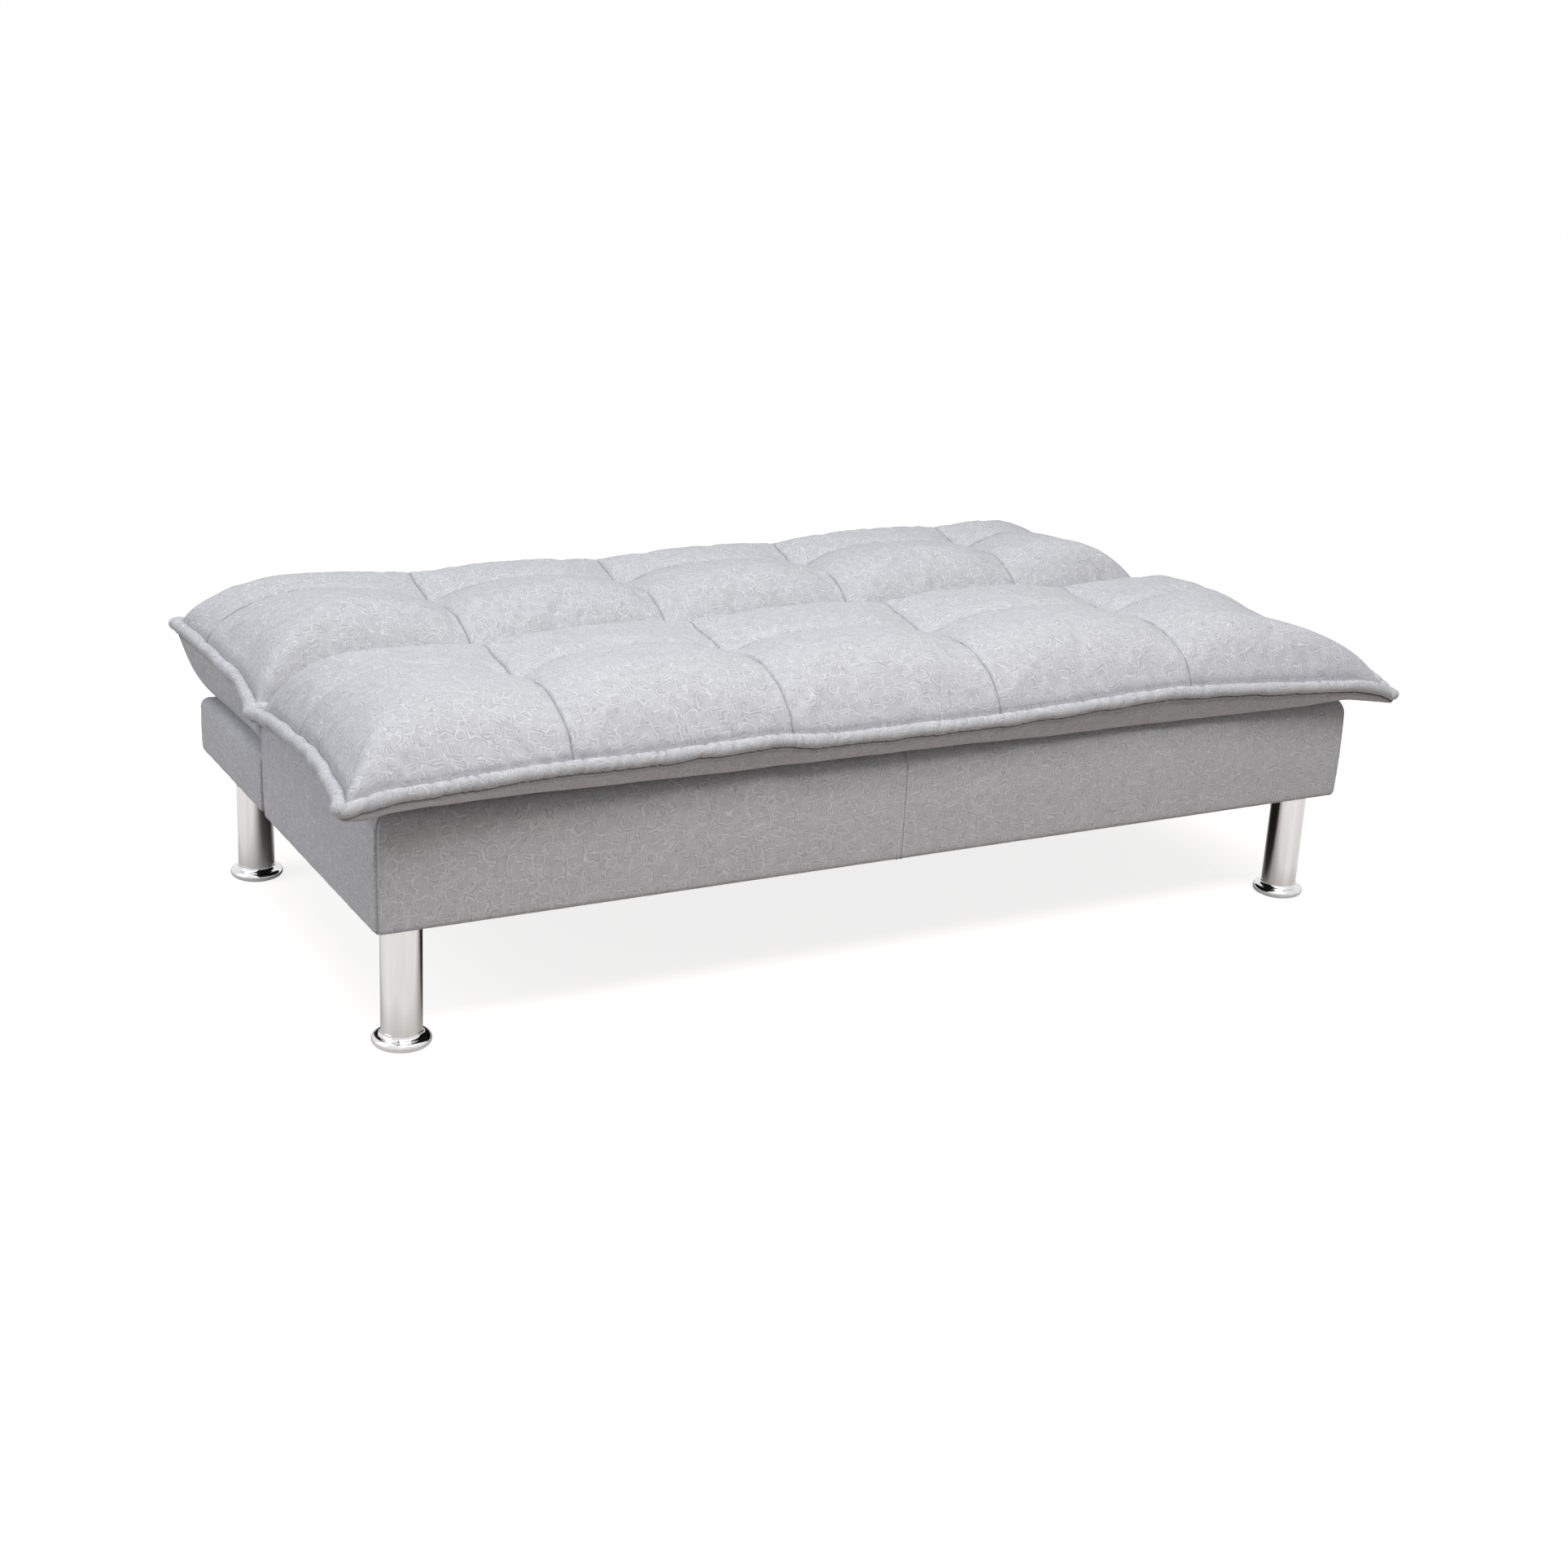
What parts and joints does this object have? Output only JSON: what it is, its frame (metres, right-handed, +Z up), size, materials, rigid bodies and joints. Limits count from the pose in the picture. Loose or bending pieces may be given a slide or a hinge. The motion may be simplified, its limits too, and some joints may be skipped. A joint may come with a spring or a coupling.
{
  "type": "click-clack sofa bed",
  "caption": "Upholstered click-clack sofa bed on round chrome legs; the hinged back folds flat beside the seat to make a bed.",
  "frame": {"origin": "on the floor, in the middle of the bed's length and depth, with the bed lying flat", "axes": "+X along the bed to its right-hand end, +Y from the seat towards the back, +Z up"},
  "size_m": [1.884, 1.022, 0.521],
  "materials": {
    "grey_linen": "linen-look woven upholstery, matt",
    "dust_cloth": "black non-woven cloth",
    "foam": "open-cell foam",
    "webbing": "woven elastic webbing",
    "pine": "planed, unfinished",
    "chrome": "mirror chrome plate",
    "rubber": "matt black",
    "black_steel": "black powder coat",
    "zinc_steel": "zinc plated"
  },
  "bodies": {
    "base": {"back_buffers": "rubber", "floor_pads": "rubber", "front_left_foot": "chrome", "front_left_leg": "chrome", "front_right_foot": "chrome", "front_right_leg": "chrome", "left_bracket": "zinc_steel", "left_cheek_post": "zinc_steel", "left_inner_cheek": "zinc_steel", "left_outrigger": "black_steel", "left_pawl_pin": "zinc_steel", "left_pawl_spring": "zinc_steel", "left_pivot_pin": "zinc_steel", "leg_caps": "zinc_steel", "outrigger_bolts": "zinc_steel", "rear_cross_tube": "black_steel", "rear_left_foot": "chrome", "rear_left_leg": "chrome", "rear_leg_nuts": "zinc_steel", "rear_right_foot": "chrome", "rear_right_leg": "chrome", "right_bracket": "zinc_steel", "right_cheek_post": "zinc_steel", "right_inner_cheek": "zinc_steel", "right_outrigger": "black_steel", "right_pawl_pin": "zinc_steel", "right_pawl_spring": "zinc_steel", "right_pivot_pin": "zinc_steel", "seat_cover": "grey_linen", "seat_cross_rails": "pine", "seat_cushion": "grey_linen", "seat_dust_cloth": "dust_cloth", "seat_foam": "foam", "seat_front_rail": "pine", "seat_hinge_bolts": "zinc_steel", "seat_left_rail": "pine", "seat_mounting_blocks": "pine", "seat_rear_rail": "pine", "seat_right_rail": "pine", "seat_webbing": "webbing", "tee_nuts": "zinc_steel"},
    "back": {"arm_packers": "zinc_steel", "back_cover": "grey_linen", "back_cross_rails": "pine", "back_cushion": "grey_linen", "back_dust_cloth": "dust_cloth", "back_foam": "foam", "back_front_rail": "pine", "back_hinge_bolts": "zinc_steel", "back_left_rail": "pine", "back_rear_rail": "pine", "back_right_rail": "pine", "back_webbing": "webbing", "left_ratchet_arm": "zinc_steel", "right_ratchet_arm": "zinc_steel"},
    "left_pawl": {"left_pawl": "zinc_steel"},
    "right_pawl": {"right_pawl": "zinc_steel"}
  },
  "joints": [
    {"name": "back_hinge", "type": "hinge", "parent": "base", "child": "back", "pos_m": [0, 0.103, 0.352], "axis": [1, 0, 0], "range_deg": [0, 78]},
    {"name": "left_pawl_swing", "type": "hinge", "parent": "base", "child": "left_pawl", "pos_m": [-0.832, 0.08386, 0.31949], "axis": [1, 0, 0], "range_deg": [-8, 3], "stiffness_Nm_per_rad": 0.05},
    {"name": "right_pawl_swing", "type": "hinge", "parent": "base", "child": "right_pawl", "pos_m": [0.832, 0.08386, 0.31949], "axis": [1, 0, 0], "range_deg": [-8, 3], "stiffness_Nm_per_rad": 0.05}
  ]
}
